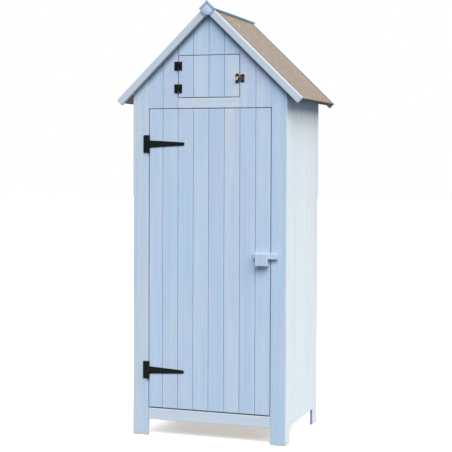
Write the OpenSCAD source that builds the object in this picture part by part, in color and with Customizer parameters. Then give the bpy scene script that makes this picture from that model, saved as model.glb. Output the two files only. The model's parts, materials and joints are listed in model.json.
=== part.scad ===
// Garden storage cabinet: a tall narrow timber store with a pitched felt roof,
// a long ledged door, and a small hatch in the gable above it.
// Millimetres. X runs to the right, Y to the back, Z up. The origin is on the
// ground, at the centre of the footprint.

/* [Carcass] */
// Width over the side walls
body_w = 655; // [610:1:720]
// Depth over the front and back boards
body_d = 486; // [400:1:600]
// How far the side walls' outer faces rise above the door opening
wall_over = 76.9; // [58:0.1:160]
// Thickness of the boards
board_t = 12; // [11:0.5:16]
// Covering width of one front board
board_w = 66; // [60:1:72]
// Number of boards in each side wall
side_board_count = 7; // [5:1:9]
// Number of boards in the back wall
back_board_count = 9; // [7:1:11]
// Height of the gap under the walls, which is the length of the feet
foot_h = 68; // [40:1:90]
// Width of the front face left of the door
left_margin = 68.5; // [60:0.5:80]
// Width of the front face right of the door
right_margin = 63.5; // [60:0.5:80]
// Height of the bottom rail
rail_h = 46; // [30:1:60]

/* [Board joints] */
// Gap left between neighbouring boards
joint_gap = 0.6; // [0.4:0.1:1]
// Depth of the bevel on each board's outer edges
vee = 2; // [1:0.1:2.5]
// Thickness of a board's tongue
tongue_t = 4; // [3:0.1:5]
// Length of a board's tongue
tongue_l = 5; // [3:0.5:8]
// Clearance on each face of a tongue
tongue_fit = 0.3; // [0.2:0.05:0.5]

/* [Door] */
// Top of the door opening above the ground
door_top = 1342; // [1280:1:1450]
// Gap at the sides and top of the door
door_gap = 3; // [2.5:0.5:4]
// Gap under the door
door_bottom_gap = 5; // [3:0.5:8]
// How far the door and the hatch stand proud of the wall
door_proud = 0.5; // [0.4:0.1:1]
// Height of a door ledge
ledge_h = 66; // [50:1:90]
// Thickness of the ledges and braces
ledge_t = 18; // [12:1:20]
// Width of a door brace, measured level
brace_w = 78; // [50:1:100]
// Distance from a door edge to the ends of the ledges
ledge_inset = 10; // [8:1:20]

/* [Hatch] */
// Height of the rail between the door and the hatch
sill_h = 41; // [34:1:44]
// Height of the hatch opening
hatch_h = 172; // [160:1:178]
// Number of boards across the hatch
hatch_board_count = 4; // [3:1:4]
// Gap round the hatch
hatch_gap = 2.5; // [2:0.5:3.5]
// Height of a hatch batten
hatch_batten_h = 28; // [20:1:35]
// Thickness of a hatch batten
hatch_batten_t = 12; // [10:1:16]

/* [Roof] */
// How far the eaves reach past the side walls, measured level
eave_over = 66; // [45:0.5:80]
// Slope of the roof in degrees
roof_angle = 44; // [42:0.5:46]
// Width of a bargeboard
barge_w = 28; // [24:1:40]
// Thickness of a bargeboard
barge_t = 19; // [12:1:22]
// Depth of the felt's face below the bargeboards' upper edges
felt_drop = 0.5; // [0.3:0.1:1]
// Thickness of the felt
felt_t = 3.5; // [2:0.5:5]
// Clearance between the felt and the boards under it
felt_gap = 0.1; // [0.05:0.05:0.3]
// Number of boards in each roof slope
roof_board_count = 8; // [6:1:10]
// Depth and width of a rafter
rafter_s = 20; // [18:1:25]
// Width of a ridge cap board, along the slope
cap_w = 38.6; // [30:0.1:60]
// Thickness of a ridge cap board
cap_t = 9.5; // [6:0.5:14]
// How far the ridge cap reaches past the bargeboards
cap_over = 8; // [7:1:20]
// Thickness of the plate on the bargeboards' mitre
apex_plate_t = 6; // [4:0.5:7]
// Half the width of that plate
apex_plate_half = 26; // [20:1:40]
// Half the width of its flat lower edge
apex_plate_foot = 10; // [6:1:16]
// Depth of its side corners below the upper edges of the bargeboards
apex_plate_side = 5; // [2:1:10]

/* [Inside] */
// Side of a square corner post
post_s = 28; // [24:1:30]
// Thickness of a wall batten
batten_t = 20; // [15:1:25]
// Height of a wall batten
batten_h = 45; // [30:1:60]
// Height of a shelf cleat
cleat_h = 22; // [15:1:35]
// Height of the lower shelf above the ground
lower_shelf_z = 430; // [350:1:480]
// Height of the middle shelf above the ground
middle_shelf_z = 740; // [700:1:800]
// Height of the upper shelf above the ground
upper_shelf_z = 1050; // [1000:1:1120]
// Number of slats in a shelf
slat_count = 6; // [4:1:8]
// Gap between shelf slats
slat_gap = 6; // [4:1:12]
// Distance from the back of the door's boards to the front edge of the shelves
shelf_setback = 41; // [35:1:80]
// Number of floor boards
floor_board_count = 7; // [5:1:9]
// Number of boards in the loft floor
loft_board_count = 8; // [6:1:10]
// Gap between floor boards
floor_gap = 3; // [2:0.5:8]
// Width of a floor bearer
bearer_w = 30; // [20:1:45]
// Clearance round loose-laid boards
lay_gap = 0.3; // [0.2:0.1:1]

/* [Door hinges] */
// Distance from the top of the door down to the upper hinge's middle
upper_hinge_drop = 141; // [100:1:180]
// Distance from the bottom of the door up to the lower hinge's middle
lower_hinge_rise = 152; // [100:1:200]
// Length of a strap from the pin
strap_l = 155; // [120:1:220]
// Height of a strap at the pin
strap_h = 30; // [24:1:40]
// Height of a strap at its round tip
strap_tip_h = 13.5; // [10:0.5:20]
// Height of a hinge plate on the stile
plate_h = 72; // [60:1:90]
// Width of a hinge plate from the pin
plate_w = 25; // [20:1:30]
// Thickness of the hinge metal
hinge_t = 2.5; // [2:0.1:3]
// Radius of a hinge knuckle
knuckle_r = 5; // [4.5:0.1:6]
// Radius of a hinge pin
pin_r = 2.5; // [2:0.1:3]
// Distance from the wall's face to the pin's axis
pin_out = 6; // [6:0.1:7]

/* [Hatch hinges] */
// Height of a hatch hinge
butt_h = 36; // [28:1:40]
// Height of the moving knuckle
butt_mid_h = 14; // [10:1:16]
// Width of each leaf from the pin
butt_w = 17; // [12:1:20]
// Thickness of a leaf
butt_t = 1.6; // [1.2:0.1:2]
// Radius of the knuckle
butt_r = 3; // [2.8:0.1:3.5]
// Radius of the pin
butt_pin_r = 1.5; // [1.2:0.1:1.8]
// Distance from the wall's face to the pin's axis
butt_out = 4.2; // [4.1:0.1:5]
// Distance from the top of the hatch opening down to the upper hinge's middle
butt_drop = 43; // [30:1:50]
// Distance from the bottom of the hatch opening up to the lower hinge's middle
butt_rise = 38; // [30:1:50]

/* [Door latch] */
// Height of the middle of the latch bar above the ground
bar_z = 753.5; // [700:0.5:1000]
// Length of the latch bar
bar_l = 100; // [90:1:130]
// Height of the latch bar
bar_h = 23; // [18:1:30]
// Thickness of the latch bar
bar_t = 12; // [8:0.5:14]
// Gap between the latch bar and what is behind and before it
bar_gap = 1.5; // [1:0.1:3]
// Distance from the door's edge to the catch block
catch_inset = 6; // [5:1:20]
// Width of the catch block
catch_w = 50; // [46:1:80]
// Height of the catch block
catch_h = 50; // [46:1:80]
// Thickness of the catch's face
catch_face_t = 10.5; // [6:0.5:12]
// Distance from the catch's left edge to the pivot
pivot_in = 11; // [10:0.5:14]
// Length of the latch bar left of the pivot
bar_tail = 23; // [14:0.5:24]
// Radius of the pivot dowel
dowel_r = 4; // [3:0.1:5]

/* [Hatch latch] */
// Height of the hatch latch's middle above the bottom of the hatch opening
turn_up = 75; // [50:1:110]
// Height of the latch plate
turn_plate_h = 40; // [30:1:50]
// Width of the latch plate
turn_plate_w = 17; // [14:1:20]
// Height of the strike plate
strike_h = 34; // [24:1:45]
// Width of the strike plate
strike_w = 20; // [14:1:24]
// Thickness of both plates
turn_plate_t = 1.5; // [1:0.1:2.5]
// Length of the turning arm from its spindle
arm_l = 27; // [20:1:34]
// Width of the turning arm
arm_w = 8; // [6:0.5:10]
// Thickness of the turning arm
arm_t = 3; // [2:0.5:4]
// Radius of the knob
knob_r = 6.5; // [5:0.1:8]
// Height of the knob
knob_h = 10; // [6:0.5:14]
// Radius of the spindle
spindle_r = 2.5; // [2:0.1:3]

/* [Fasteners] */
// Radius of a screw head
screw_head_r = 3.8; // [3:0.1:4.5]
// Height of a screw head
screw_head_h = 1.8; // [1:0.1:2.2]
// Radius of a screw's shank
screw_r = 1.8; // [1.2:0.1:2.2]
// Length of a screw's shank
screw_l = 9; // [6:0.5:11]
// Distance from a door hinge plate's edges to its screws
plate_screw_in = 10; // [8:0.5:12]
// Distance from a hatch hinge's edges to its screws
butt_screw_in = 6; // [5:0.5:7]
// Distance from the upper and lower edges of the hatch latch's plates to their screws
turn_screw_in = 6; // [5:0.5:8]

/* [Fits] */
// Clearance of a screw in its hole
screw_fit = 0.1; // [0.05:0.01:0.2]
// Running clearance round a pin, dowel or spindle
running_fit = 0.05; // [0.02:0.01:0.1]
// Gap between the turning arm and the screw heads behind it
arm_gap = 0.5; // [0.3:0.1:1]
// Gap between neighbouring knuckles
knuckle_gap = 0.5; // [0.3:0.1:1]
// Distance from the hatch opening to the strike plate
strike_gap = 1; // [0.5:0.5:3]

/* [Hidden] */
$fn = 48;

paint = "lightsteelblue";
dark_stain = "darkslategray";
bare_wood = "burlywood";
black_iron = "dimgray";
bronze = "peru";
felt_colour = "rosybrown";

// Faces of the carcass and of its inside
half_w = body_w / 2;
half_d = body_d / 2;
front_y = -half_d;
in_x = half_w - board_t;
in_y = half_d - board_t;
post_in_y = in_y - post_s;
wall_batten_x = in_x - batten_t;

// How far the frame timbers behind an opening reach into it
stop_overlap = 10;

// The door and hatch openings
open_left = left_margin - half_w;
open_right = half_w - right_margin;
door_left = open_left + door_gap;
door_right = open_right - door_gap;
rail_top = foot_h + rail_h;
hatch_bottom = door_top + sill_h;
hatch_top = hatch_bottom + hatch_h;
door_base = rail_top + door_bottom_gap;
door_head = door_top - door_gap;
hatch_half = hatch_board_count * board_w / 2;
hatch_edge = hatch_half - hatch_gap;
frame_inner = hatch_half - stop_overlap;
door_front_y = front_y - door_proud;
door_back_y = door_front_y + board_t;

// Heights of the floors and of the timbers that carry them
floor_z = rail_top - board_t;
loft_z = hatch_bottom - board_t;
header_overlap = 20;
header_z = door_top - header_overlap;
shelf_heights = [lower_shelf_z, middle_shelf_z, upper_shelf_z];
// The middle wall battens lie below the middle shelf's cleats
middle_batten_z = middle_shelf_z - board_t - cleat_h - slat_gap - batten_h;

// Heights of the door's hinges and of the ledges behind them
upper_hinge_z = door_head - upper_hinge_drop;
lower_hinge_z = door_base + lower_hinge_rise;
mid_ledge_z = bar_z - bar_h;

// The roof. Depths are square to the slope, from the bargeboards' upper edges.
felt_under = felt_drop + felt_t;
deck_top = felt_under + felt_gap;
deck_under = deck_top + board_t;
rafter_under = deck_under + rafter_s;
wall_h = door_top + wall_over;
roof_half = half_w + eave_over;
apex_z = wall_h + half_w * tan(roof_angle) + deck_under / cos(roof_angle);
slope_l = roof_half / cos(roof_angle);
cap_y = half_d + barge_t + cap_over;

// Tongue and groove heights within a board
tongue_0 = (board_t - tongue_t) / 2;
tongue_1 = tongue_0 + tongue_t;
// A last strip narrower than this joins its neighbour
least_strip = 14;
// Amount by which a cutting shape passes the face that it cuts
past = 1;

// The inside of the shelves
shelf_front_y = door_back_y + shelf_setback;
shelf_back_y = post_in_y;
upright_half = post_s / 2;

// Pivots
pin_x = open_left + door_gap / 2;
pin_y = front_y - pin_out;
butt_x = hatch_gap / 2 - hatch_half;
butt_y = front_y - butt_out;
butt_heights = [hatch_bottom + butt_rise, hatch_top - butt_drop];
catch_right = door_right - catch_inset;
catch_left = catch_right - catch_w;
catch_top = bar_z + bar_h / 2;
pivot_x = catch_left + pivot_in;
notch_d = bar_t + 2 * bar_gap - door_proud;
catch_y = door_front_y - notch_d - catch_face_t;
bar_y = front_y - bar_gap - bar_t;
turn_x = hatch_edge - turn_plate_w / 2;
turn_z = hatch_bottom + turn_up;
arm_back_y = door_front_y - turn_plate_t - screw_head_h - arm_gap;
strike_x = hatch_half + strike_gap + strike_w / 2;
// How deep dowels and spindles go into a board, as a share of its thickness
peg_share = 0.7;
peg_depth = board_t * peg_share;

// Screw places, from the pin of a hinge or the middle of a plate
plate_screw_x = plate_screw_in - plate_w;
plate_screw_z = plate_h / 2 - plate_screw_in;
strap_screw_shares = [0.22, 0.55, 0.9];
butt_screw_x = butt_w - butt_screw_in;
butt_screw_z = butt_h / 2 - butt_screw_in;
turn_screw_z = turn_plate_h / 2 - turn_screw_in;
strike_screw_z = strike_h / 2 - turn_screw_in;

// Outline of one board: its outer face is at y = 0, and it covers x = 0 to w
function board_outline(w, groove, tongue) = concat(
    [[joint_gap / 2 + vee, 0], [joint_gap / 2, vee]],
    groove ? [[joint_gap / 2, tongue_0 - tongue_fit],
        [joint_gap / 2 + tongue_l, tongue_0 - tongue_fit],
        [joint_gap / 2 + tongue_l, tongue_1 + tongue_fit],
        [joint_gap / 2, tongue_1 + tongue_fit]] : [],
    [[joint_gap / 2, board_t], [w - joint_gap / 2, board_t]],
    tongue ? [[w - joint_gap / 2, tongue_1], [w - joint_gap / 2 + tongue_l, tongue_1],
        [w - joint_gap / 2 + tongue_l, tongue_0], [w - joint_gap / 2, tongue_0]] : [],
    [[w - joint_gap / 2, vee], [w - joint_gap / 2 - vee, 0]]);

// Edges of the boards that cover x0 to x1, on the grid that all front boards share
function grid_edges(x0, x1) = concat([x0],
    [for (k = [ceil(x0 / board_w) : floor(x1 / board_w)])
        if (k * board_w > x0 + least_strip && k * board_w < x1 - least_strip) k * board_w],
    [x1]);

// Edges of a number of equal boards
function even_edges(x0, x1, count) = [for (i = [0 : count]) x0 + (x1 - x0) * i / count];

// A point at s along the right slope from the ridge, and d below its upper line
function slope_point(s, d) = [s * cos(roof_angle) - d * sin(roof_angle),
    apex_z - s * sin(roof_angle) - d * cos(roof_angle)];

// The point at depth d on the ridge's centre plane
function ridge_point(d) = [0, apex_z - d / cos(roof_angle)];

// One upright board of a row
module board(w, z0, z1, groove, tongue) {
    translate([0, 0, z0]) linear_extrude(height = z1 - z0) polygon(board_outline(w, groove, tongue));
}

// A row of upright boards between the given edges
module board_row(edges, z0, z1) {
    for (i = [0 : len(edges) - 2])
        translate([edges[i], 0, 0])
            board(edges[i + 1] - edges[i], z0, z1, i > 0, i < len(edges) - 2);
}

// Turns an outline drawn in X and Z into a solid from y0 to y1
module upright(y0, y1) {
    translate([0, y1, 0]) rotate([90, 0, 0]) linear_extrude(height = y1 - y0) children();
}

// A box given by two corners
module block(low, high) {
    translate(low) cube(high - low);
}

// The space under the roof at a depth below its upper line
module under_roof(depth) {
    wide = roof_half + barge_w;
    top = ridge_point(depth)[1];
    side = top - wide * tan(roof_angle);
    upright(-body_d, body_d)
        polygon([[-wide, -past], [wide, -past], [wide, side], [0, top], [-wide, side]]);
}

// Everything in the child that lies under the roof boards
module trimmed(depth) {
    intersection() {
        children();
        under_roof(depth);
    }
}

// The four corners of the inside, each with the room at its lower X and Y
module at_corners() {
    for (sx = [0, 1], sy = [0, 1]) mirror([sx, 0, 0]) mirror([0, sy, 0])
        translate([in_x, in_y, 0]) children();
}

// Front wall
module stile(x0, x1) {
    color(paint) trimmed(deck_under) translate([x0, front_y, 0])
        board(x1 - x0, 0, apex_z, false, false);
}

module front_left_stile() {
    difference() {
        stile(-in_x, open_left);
        for (z = [lower_hinge_z, upper_hinge_z]) translate([pin_x, front_y, z]) plate_screws(screw_fit);
    }
}

module front_right_stile() {
    stile(open_right, in_x);
}

module front_bottom_rail() {
    color(paint) block([open_left + lay_gap, front_y, foot_h],
        [open_right - lay_gap, front_y + board_t, rail_top]);
}

module hatch_sill_rail() {
    color(paint) block([-hatch_half + lay_gap, front_y, door_top],
        [hatch_half - lay_gap, front_y + board_t, hatch_bottom]);
}

module gable_boards(x0, x1, z0) {
    color(paint) trimmed(deck_under) translate([0, front_y, 0])
        board_row(grid_edges(x0, x1), z0, apex_z);
}

module left_gable_boards() {
    difference() {
        gable_boards(open_left, -hatch_half, door_top);
        for (z = butt_heights) translate([butt_x, front_y, z]) butt_screws(-1, screw_fit);
    }
}

module right_gable_boards() {
    difference() {
        gable_boards(hatch_half, open_right, door_top);
        translate([strike_x, front_y, turn_z]) strike_screws(screw_fit);
    }
}

module top_gable_boards() {
    gable_boards(-hatch_half, hatch_half, hatch_top);
}

// Side and back walls. The first and last side boards run down as the feet.
module side_boards() {
    edges = even_edges(-half_d, half_d, side_board_count);
    last = side_board_count - 1;
    translate([half_w, 0, 0]) rotate([0, 0, 90])
        for (i = [0 : last])
            translate([edges[i], 0, 0])
                board(edges[i + 1] - edges[i], (i == 0 || i == last) ? 0 : foot_h, apex_z,
                    i > 0, i < last);
}

module left_side_boards() {
    color(paint) trimmed(deck_under) mirror([1, 0, 0]) side_boards();
}

module right_side_boards() {
    color(paint) trimmed(deck_under) side_boards();
}

module back_boards() {
    color(paint) trimmed(deck_under) translate([0, half_d, 0]) rotate([0, 0, 180])
        board_row(even_edges(-in_x, in_x, back_board_count), foot_h, apex_z);
}

// Timbers inside the walls
module corner_posts() {
    color(bare_wood) trimmed(rafter_under) at_corners()
        block([-post_s, -post_s, rail_top], [0, 0, apex_z]);
}

module side_wall_battens() {
    color(bare_wood) for (sx = [0, 1]) mirror([sx, 0, 0])
        for (z = [middle_batten_z, loft_z - batten_h])
            block([wall_batten_x, -post_in_y, z], [in_x, post_in_y, z + batten_h]);
}

module back_wall_battens() {
    color(bare_wood) for (z = [rail_top, middle_batten_z, loft_z - batten_h])
        block([-in_x + post_s, in_y - batten_t, z], [in_x - post_s, in_y, z + batten_h]);
}

module door_header() {
    color(paint) block([-in_x + post_s, -in_y, header_z],
        [in_x - post_s, -in_y + batten_t, loft_z]);
}

module door_stop() {
    color(paint) block([open_right - stop_overlap, -in_y, rail_top],
        [open_right - stop_overlap + batten_t, -in_y + batten_t, header_z]);
}

module hatch_frame() {
    head_z = hatch_top - stop_overlap;
    head_half = frame_inner - lay_gap;
    color(paint) trimmed(rafter_under) {
        for (sx = [0, 1]) mirror([sx, 0, 0])
            block([frame_inner, -in_y, loft_z], [frame_inner + batten_t, -in_y + batten_t, apex_z]);
        block([-head_half, -in_y, head_z], [head_half, -in_y + batten_t, head_z + batten_t]);
    }
}

module floor_boards() {
    pitch = 2 * in_y / floor_board_count;
    color(bare_wood) for (i = [0 : floor_board_count - 1])
        block([-in_x + lay_gap, -in_y + i * pitch + floor_gap / 2, floor_z],
            [in_x - lay_gap, -in_y + (i + 1) * pitch - floor_gap / 2, rail_top]);
}

module floor_bearers() {
    color(bare_wood) for (x = [-in_x, -bearer_w / 2, in_x - bearer_w])
        block([x, -in_y, foot_h], [x + bearer_w, in_y, floor_z]);
}

module loft_boards() {
    edges = even_edges(-in_x, in_x, loft_board_count);
    color(bare_wood) difference() {
        for (i = [0 : loft_board_count - 1])
            block([edges[i] + lay_gap, -in_y + lay_gap, loft_z],
                [edges[i + 1] - lay_gap, in_y - lay_gap, hatch_bottom]);
        at_corners() block([-post_s - lay_gap, -post_s - lay_gap, 0], [past, past, apex_z]);
        for (sx = [0, 1]) mirror([sx, 0, 0])
            block([frame_inner - lay_gap, -half_d, 0],
                [frame_inner + batten_t + lay_gap, -in_y + batten_t + lay_gap, apex_z]);
    }
}

// Shelves on the right, between two uprights and the wall
module shelf_uprights() {
    color(bare_wood) for (y = [shelf_front_y, shelf_back_y - post_s])
        block([-upright_half, y, rail_top], [upright_half, y + post_s, loft_z]);
}

module shelf_cleats() {
    color(bare_wood) for (z = shelf_heights, x = [upright_half, wall_batten_x])
        block([x, shelf_front_y, z - board_t - cleat_h],
            [x + batten_t, shelf_back_y, z - board_t]);
}

module shelf(z) {
    pitch = (shelf_back_y - shelf_front_y + slat_gap) / slat_count;
    color(bare_wood) for (i = [0 : slat_count - 1])
        block([upright_half + lay_gap, shelf_front_y + i * pitch, z - board_t],
            [in_x - lay_gap, shelf_front_y + (i + 1) * pitch - slat_gap, z]);
}

module lower_shelf() {
    shelf(lower_shelf_z);
}

module middle_shelf() {
    shelf(middle_shelf_z);
}

module upper_shelf() {
    shelf(upper_shelf_z);
}

// Roof
module rafters() {
    color(bare_wood) for (sx = [0, 1], y = [-in_y, -rafter_s / 2, in_y - rafter_s]) mirror([sx, 0, 0])
        upright(y, y + rafter_s) intersection() {
            polygon([slope_point(0, deck_under), slope_point(slope_l, deck_under),
                slope_point(slope_l, rafter_under), slope_point(0, rafter_under)]);
            translate([lay_gap, 0]) square([in_x - lay_gap, apex_z]);
        }
}

module roof_boards() {
    edges = even_edges(0, slope_l - felt_t - felt_gap, roof_board_count);
    upright(-half_d, half_d) intersection() {
        for (i = [0 : roof_board_count - 1])
            polygon([for (p = board_outline(edges[i + 1] - edges[i], i > 0, i < roof_board_count - 1))
                slope_point(edges[i] + p[0], deck_under - p[1])]);
        square([roof_half, apex_z]);
    }
}

module left_roof_boards() {
    color(dark_stain) mirror([1, 0, 0]) roof_boards();
}

module right_roof_boards() {
    color(dark_stain) roof_boards();
}

// The felt lies on the boards and is folded down over their lower end
module roof_felt() {
    upright(-half_d, half_d) polygon([ridge_point(felt_drop), slope_point(slope_l, felt_drop),
        slope_point(slope_l, deck_under), slope_point(slope_l - felt_t, deck_under),
        slope_point(slope_l - felt_t, felt_under), ridge_point(felt_under)]);
}

module left_roof_felt() {
    color(felt_colour) mirror([1, 0, 0]) roof_felt();
}

module right_roof_felt() {
    color(felt_colour) roof_felt();
}

module bargeboard() {
    color(paint) upright(-half_d - barge_t, -half_d) polygon([ridge_point(0), slope_point(slope_l, 0),
        slope_point(slope_l, barge_w), ridge_point(barge_w)]);
}

module front_right_bargeboard() {
    bargeboard();
}

module front_left_bargeboard() {
    mirror([1, 0, 0]) bargeboard();
}

module back_right_bargeboard() {
    mirror([0, 1, 0]) bargeboard();
}

module back_left_bargeboard() {
    mirror([0, 1, 0]) mirror([1, 0, 0]) bargeboard();
}

module ridge_cap() {
    color(paint) upright(-cap_y, cap_y) polygon([ridge_point(0), slope_point(cap_w, 0),
        slope_point(cap_w, -cap_t), ridge_point(-cap_t)]);
}

module left_ridge_cap() {
    mirror([1, 0, 0]) ridge_cap();
}

module right_ridge_cap() {
    ridge_cap();
}

// A small plate over the bargeboards' mitre, with a clipped lower corner
module apex_plate() {
    side = apex_z - apex_plate_half * tan(roof_angle);
    foot = side - apex_plate_side - (apex_plate_half - apex_plate_foot);
    color(paint) upright(-half_d - barge_t - apex_plate_t, -half_d - barge_t)
        polygon([[0, apex_z], [apex_plate_half, side], [apex_plate_half, side - apex_plate_side],
            [apex_plate_foot, foot], [-apex_plate_foot, foot],
            [-apex_plate_half, side - apex_plate_side], [-apex_plate_half, side]]);
}

module front_apex_plate() {
    apex_plate();
}

module back_apex_plate() {
    mirror([0, 1, 0]) apex_plate();
}

// A round-headed screw that points along +Y from the face at y = 0, or with a
// clearance its hole
module screw(fit) {
    rotate([-90, 0, 0]) cylinder(r = screw_r + fit, h = screw_l + fit);
    if (fit == 0) rotate([90, 0, 0]) cylinder(r = screw_head_r, h = screw_head_h);
}

// The same screw seated on metal that stands proud of the wood
module screw_on(metal_t, fit) {
    translate([0, -metal_t, 0]) screw(fit);
}

module plate_screws(fit) {
    for (z = [-plate_screw_z, plate_screw_z]) translate([plate_screw_x, 0, z]) screw_on(hinge_t, fit);
}

module strap_screws(fit) {
    for (share = strap_screw_shares) translate([share * strap_l, 0, 0]) screw_on(hinge_t, fit);
}

module butt_screws(side, fit) {
    for (z = [-butt_screw_z, butt_screw_z]) translate([side * butt_screw_x, 0, z]) screw_on(butt_t, fit);
}

module strike_screws(fit) {
    for (z = [-strike_screw_z, strike_screw_z]) translate([0, 0, z]) screw_on(turn_plate_t, fit);
}

module turn_screws(fit) {
    for (z = [-turn_screw_z, turn_screw_z]) translate([0, 0, z]) screw_on(turn_plate_t, fit);
}

// The fixed half of a hinge. The wood's face is at y = 0 and the pin is at x = 0.
module fixed_leaf(w, h, t, r, out, bore, mid) {
    difference() {
        union() {
            block([-w, -t, -h / 2], [0, 0, h / 2]);
            translate([0, -out, -h / 2]) cylinder(r = r, h = h);
        }
        block([-r - knuckle_gap, -out - r - past, -mid / 2 - knuckle_gap],
            [r + past, past, mid / 2 + knuckle_gap]);
        hinge_bore(h, out, bore);
    }
}

// The moving knuckle of a hinge
module moving_knuckle(r, out, mid) {
    translate([0, -out, -mid / 2]) cylinder(r = r, h = mid);
}

module hinge_bore(h, out, bore) {
    translate([0, -out, -h]) cylinder(r = bore, h = 2 * h);
}

module door_hinge_plate(z) {
    color(black_iron) translate([pin_x, front_y, z]) difference() {
        fixed_leaf(plate_w, plate_h, hinge_t, knuckle_r, pin_out, pin_r + running_fit, strap_h);
        plate_screws(screw_fit);
    }
}

module upper_hinge_plate() {
    door_hinge_plate(upper_hinge_z);
}

module lower_hinge_plate() {
    door_hinge_plate(lower_hinge_z);
}

module strap_outline() {
    tip_r = strap_tip_h / 2;
    polygon([[0, -strap_h / 2], [strap_l - tip_r, -tip_r], [strap_l - tip_r, tip_r], [0, strap_h / 2]]);
    translate([strap_l - tip_r, 0]) circle(r = tip_r);
}

module door_hinge_strap(z) {
    color(black_iron) translate([pin_x, front_y, z]) difference() {
        union() {
            upright(-door_proud - hinge_t, -door_proud) strap_outline();
            moving_knuckle(knuckle_r, pin_out, strap_h);
        }
        hinge_bore(strap_h, pin_out, pin_r + running_fit);
        translate([0, -door_proud, 0]) strap_screws(screw_fit);
    }
}

module upper_hinge_strap() {
    door_hinge_strap(upper_hinge_z);
}

module lower_hinge_strap() {
    door_hinge_strap(lower_hinge_z);
}

module door_hinge_pins() {
    color(black_iron) for (z = [lower_hinge_z, upper_hinge_z])
        translate([pin_x, pin_y, z - plate_h / 2]) cylinder(r = pin_r, h = plate_h);
}

module hatch_hinge_plates() {
    color(black_iron) for (z = butt_heights) translate([butt_x, front_y, z]) difference() {
        fixed_leaf(butt_w, butt_h, butt_t, butt_r, butt_out, butt_pin_r + running_fit, butt_mid_h);
        butt_screws(-1, screw_fit);
    }
}

// The moving leaf covers the whole height, but only its middle knuckle meets the pin
module hatch_hinge_leaves() {
    color(black_iron) for (z = butt_heights) translate([butt_x, front_y, z]) difference() {
        union() {
            block([0, -door_proud - butt_t, -butt_mid_h / 2], [butt_w, -door_proud, butt_mid_h / 2]);
            block([butt_r + knuckle_gap, -door_proud - butt_t, -butt_h / 2],
                [butt_w, -door_proud, butt_h / 2]);
            moving_knuckle(butt_r, butt_out, butt_mid_h);
        }
        hinge_bore(butt_h, butt_out, butt_pin_r + running_fit);
        translate([0, -door_proud, 0]) butt_screws(1, screw_fit);
    }
}

module hatch_hinge_pins() {
    color(black_iron) for (z = butt_heights)
        translate([butt_x, butt_y, z - butt_h / 2]) cylinder(r = butt_pin_r, h = butt_h);
}

module hatch_strike_plate() {
    color(bronze) translate([strike_x, front_y, turn_z]) difference() {
        block([-strike_w / 2, -turn_plate_t, -strike_h / 2], [strike_w / 2, 0, strike_h / 2]);
        strike_screws(screw_fit);
    }
}

module cabinet_screws() {
    color(black_iron) {
        for (z = [lower_hinge_z, upper_hinge_z]) translate([pin_x, front_y, z]) plate_screws(0);
        for (z = butt_heights) translate([butt_x, front_y, z]) butt_screws(-1, 0);
        translate([strike_x, front_y, turn_z]) strike_screws(0);
    }
}

// Door
module door_boards() {
    color(paint) difference() {
        translate([0, door_front_y, 0]) board_row(grid_edges(door_left, door_right), door_base, door_head);
        for (z = [lower_hinge_z, upper_hinge_z]) translate([pin_x, door_front_y, z]) strap_screws(screw_fit);
        translate([pivot_x, 0, bar_z]) dowel(running_fit);
    }
}

module door_ledges() {
    color(paint) for (z = [lower_hinge_z, mid_ledge_z, upper_hinge_z])
        block([door_left + ledge_inset, door_back_y, z - ledge_h / 2],
            [door_right - ledge_inset - stop_overlap, door_back_y + ledge_t, z + ledge_h / 2]);
}

// Each brace rises from the hinge side to the latch side, between two ledges
module door_braces() {
    x0 = door_left + ledge_inset;
    x1 = door_right - ledge_inset - stop_overlap;
    color(paint) for (span = [[lower_hinge_z, mid_ledge_z], [mid_ledge_z, upper_hinge_z]])
        upright(door_back_y, door_back_y + ledge_t)
            polygon([[x0, span[0] + ledge_h / 2], [x0 + brace_w, span[0] + ledge_h / 2],
                [x1, span[1] - ledge_h / 2], [x1 - brace_w, span[1] - ledge_h / 2]]);
}

module door_screws() {
    color(black_iron) for (z = [lower_hinge_z, upper_hinge_z])
        translate([pin_x, door_front_y, z]) strap_screws(0);
}

// The dowel runs from inside the catch's face, through the bar, into the door's
// boards. With a clearance it is the hole for itself.
module dowel(fit) {
    y0 = catch_y + catch_face_t / 2;
    y1 = door_front_y + peg_depth;
    translate([0, y0 - fit, 0]) rotate([-90, 0, 0]) cylinder(r = dowel_r + fit, h = y1 - y0 + 2 * fit);
}

// The catch: a face, a foot along its bottom and a ledge that the bar rests on.
// The space left of the ledge lets the bar's tail swing down.
module latch_catch() {
    sweep = norm([bar_tail, bar_h / 2]) + bar_gap;
    foot_z = bar_z - sweep;
    ledge_x = pivot_x + bar_h / 2 + 2 * bar_gap;
    face_y = catch_y + catch_face_t;
    color(paint) difference() {
        union() {
            block([catch_left, catch_y, catch_top - catch_h], [catch_right, face_y, catch_top]);
            block([catch_left, face_y, catch_top - catch_h], [catch_right, door_front_y, foot_z]);
            block([ledge_x, face_y, catch_top - catch_h],
                [catch_right, door_front_y, bar_z - bar_h / 2 - running_fit]);
        }
        translate([pivot_x, 0, bar_z]) dowel(running_fit);
    }
}

module latch_dowel() {
    color(bare_wood) translate([pivot_x, 0, bar_z]) dowel(0);
}

module latch_bar() {
    color(paint) difference() {
        block([pivot_x - bar_tail, bar_y, bar_z - bar_h / 2],
            [pivot_x - bar_tail + bar_l, bar_y + bar_t, bar_z + bar_h / 2]);
        translate([pivot_x, 0, bar_z]) dowel(running_fit);
    }
}

// Hatch
module hatch_boards() {
    color(paint) difference() {
        translate([0, door_front_y, 0])
            board_row(grid_edges(-hatch_edge, hatch_edge), hatch_bottom + hatch_gap, hatch_top - hatch_gap);
        for (z = butt_heights) translate([butt_x, door_front_y, z]) butt_screws(1, screw_fit);
        translate([turn_x, door_front_y, turn_z]) {
            turn_screws(screw_fit);
            spindle_hole();
        }
    }
}

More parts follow.
